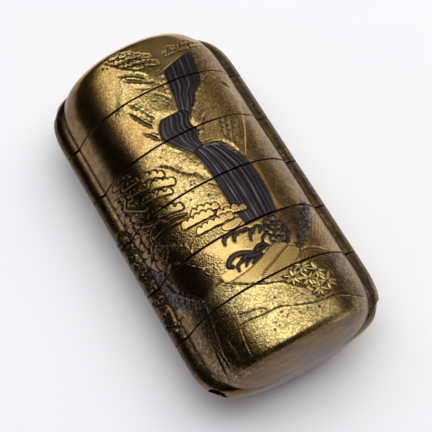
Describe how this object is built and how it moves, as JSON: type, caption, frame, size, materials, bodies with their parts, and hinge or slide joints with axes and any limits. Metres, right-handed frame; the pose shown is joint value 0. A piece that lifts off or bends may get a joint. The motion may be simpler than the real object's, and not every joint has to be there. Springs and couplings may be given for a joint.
{
  "type": "inro case",
  "caption": "Flat, lens-sectioned stacking lacquer case with a lid, nested trays, cord channels down both sides and a raised landscape on its face.",
  "frame": {"origin": "on the floor under the middle of the case, which lies on its back", "axes": "+Y along the case from the base to the lid, +Z out of the picture face, X across it"},
  "size_m": [0.0508, 0.0946, 0.0313],
  "materials": {
    "gold_lacquer": "polished gold lacquer over thin wood, with a raised and sprinkled picture"
  },
  "bodies": {
    "root": {"lid": "gold_lacquer", "tray_1": "gold_lacquer", "tray_2": "gold_lacquer", "tray_3": "gold_lacquer", "tray_4": "gold_lacquer", "tray_5": "gold_lacquer"}
  },
  "joints": []
}
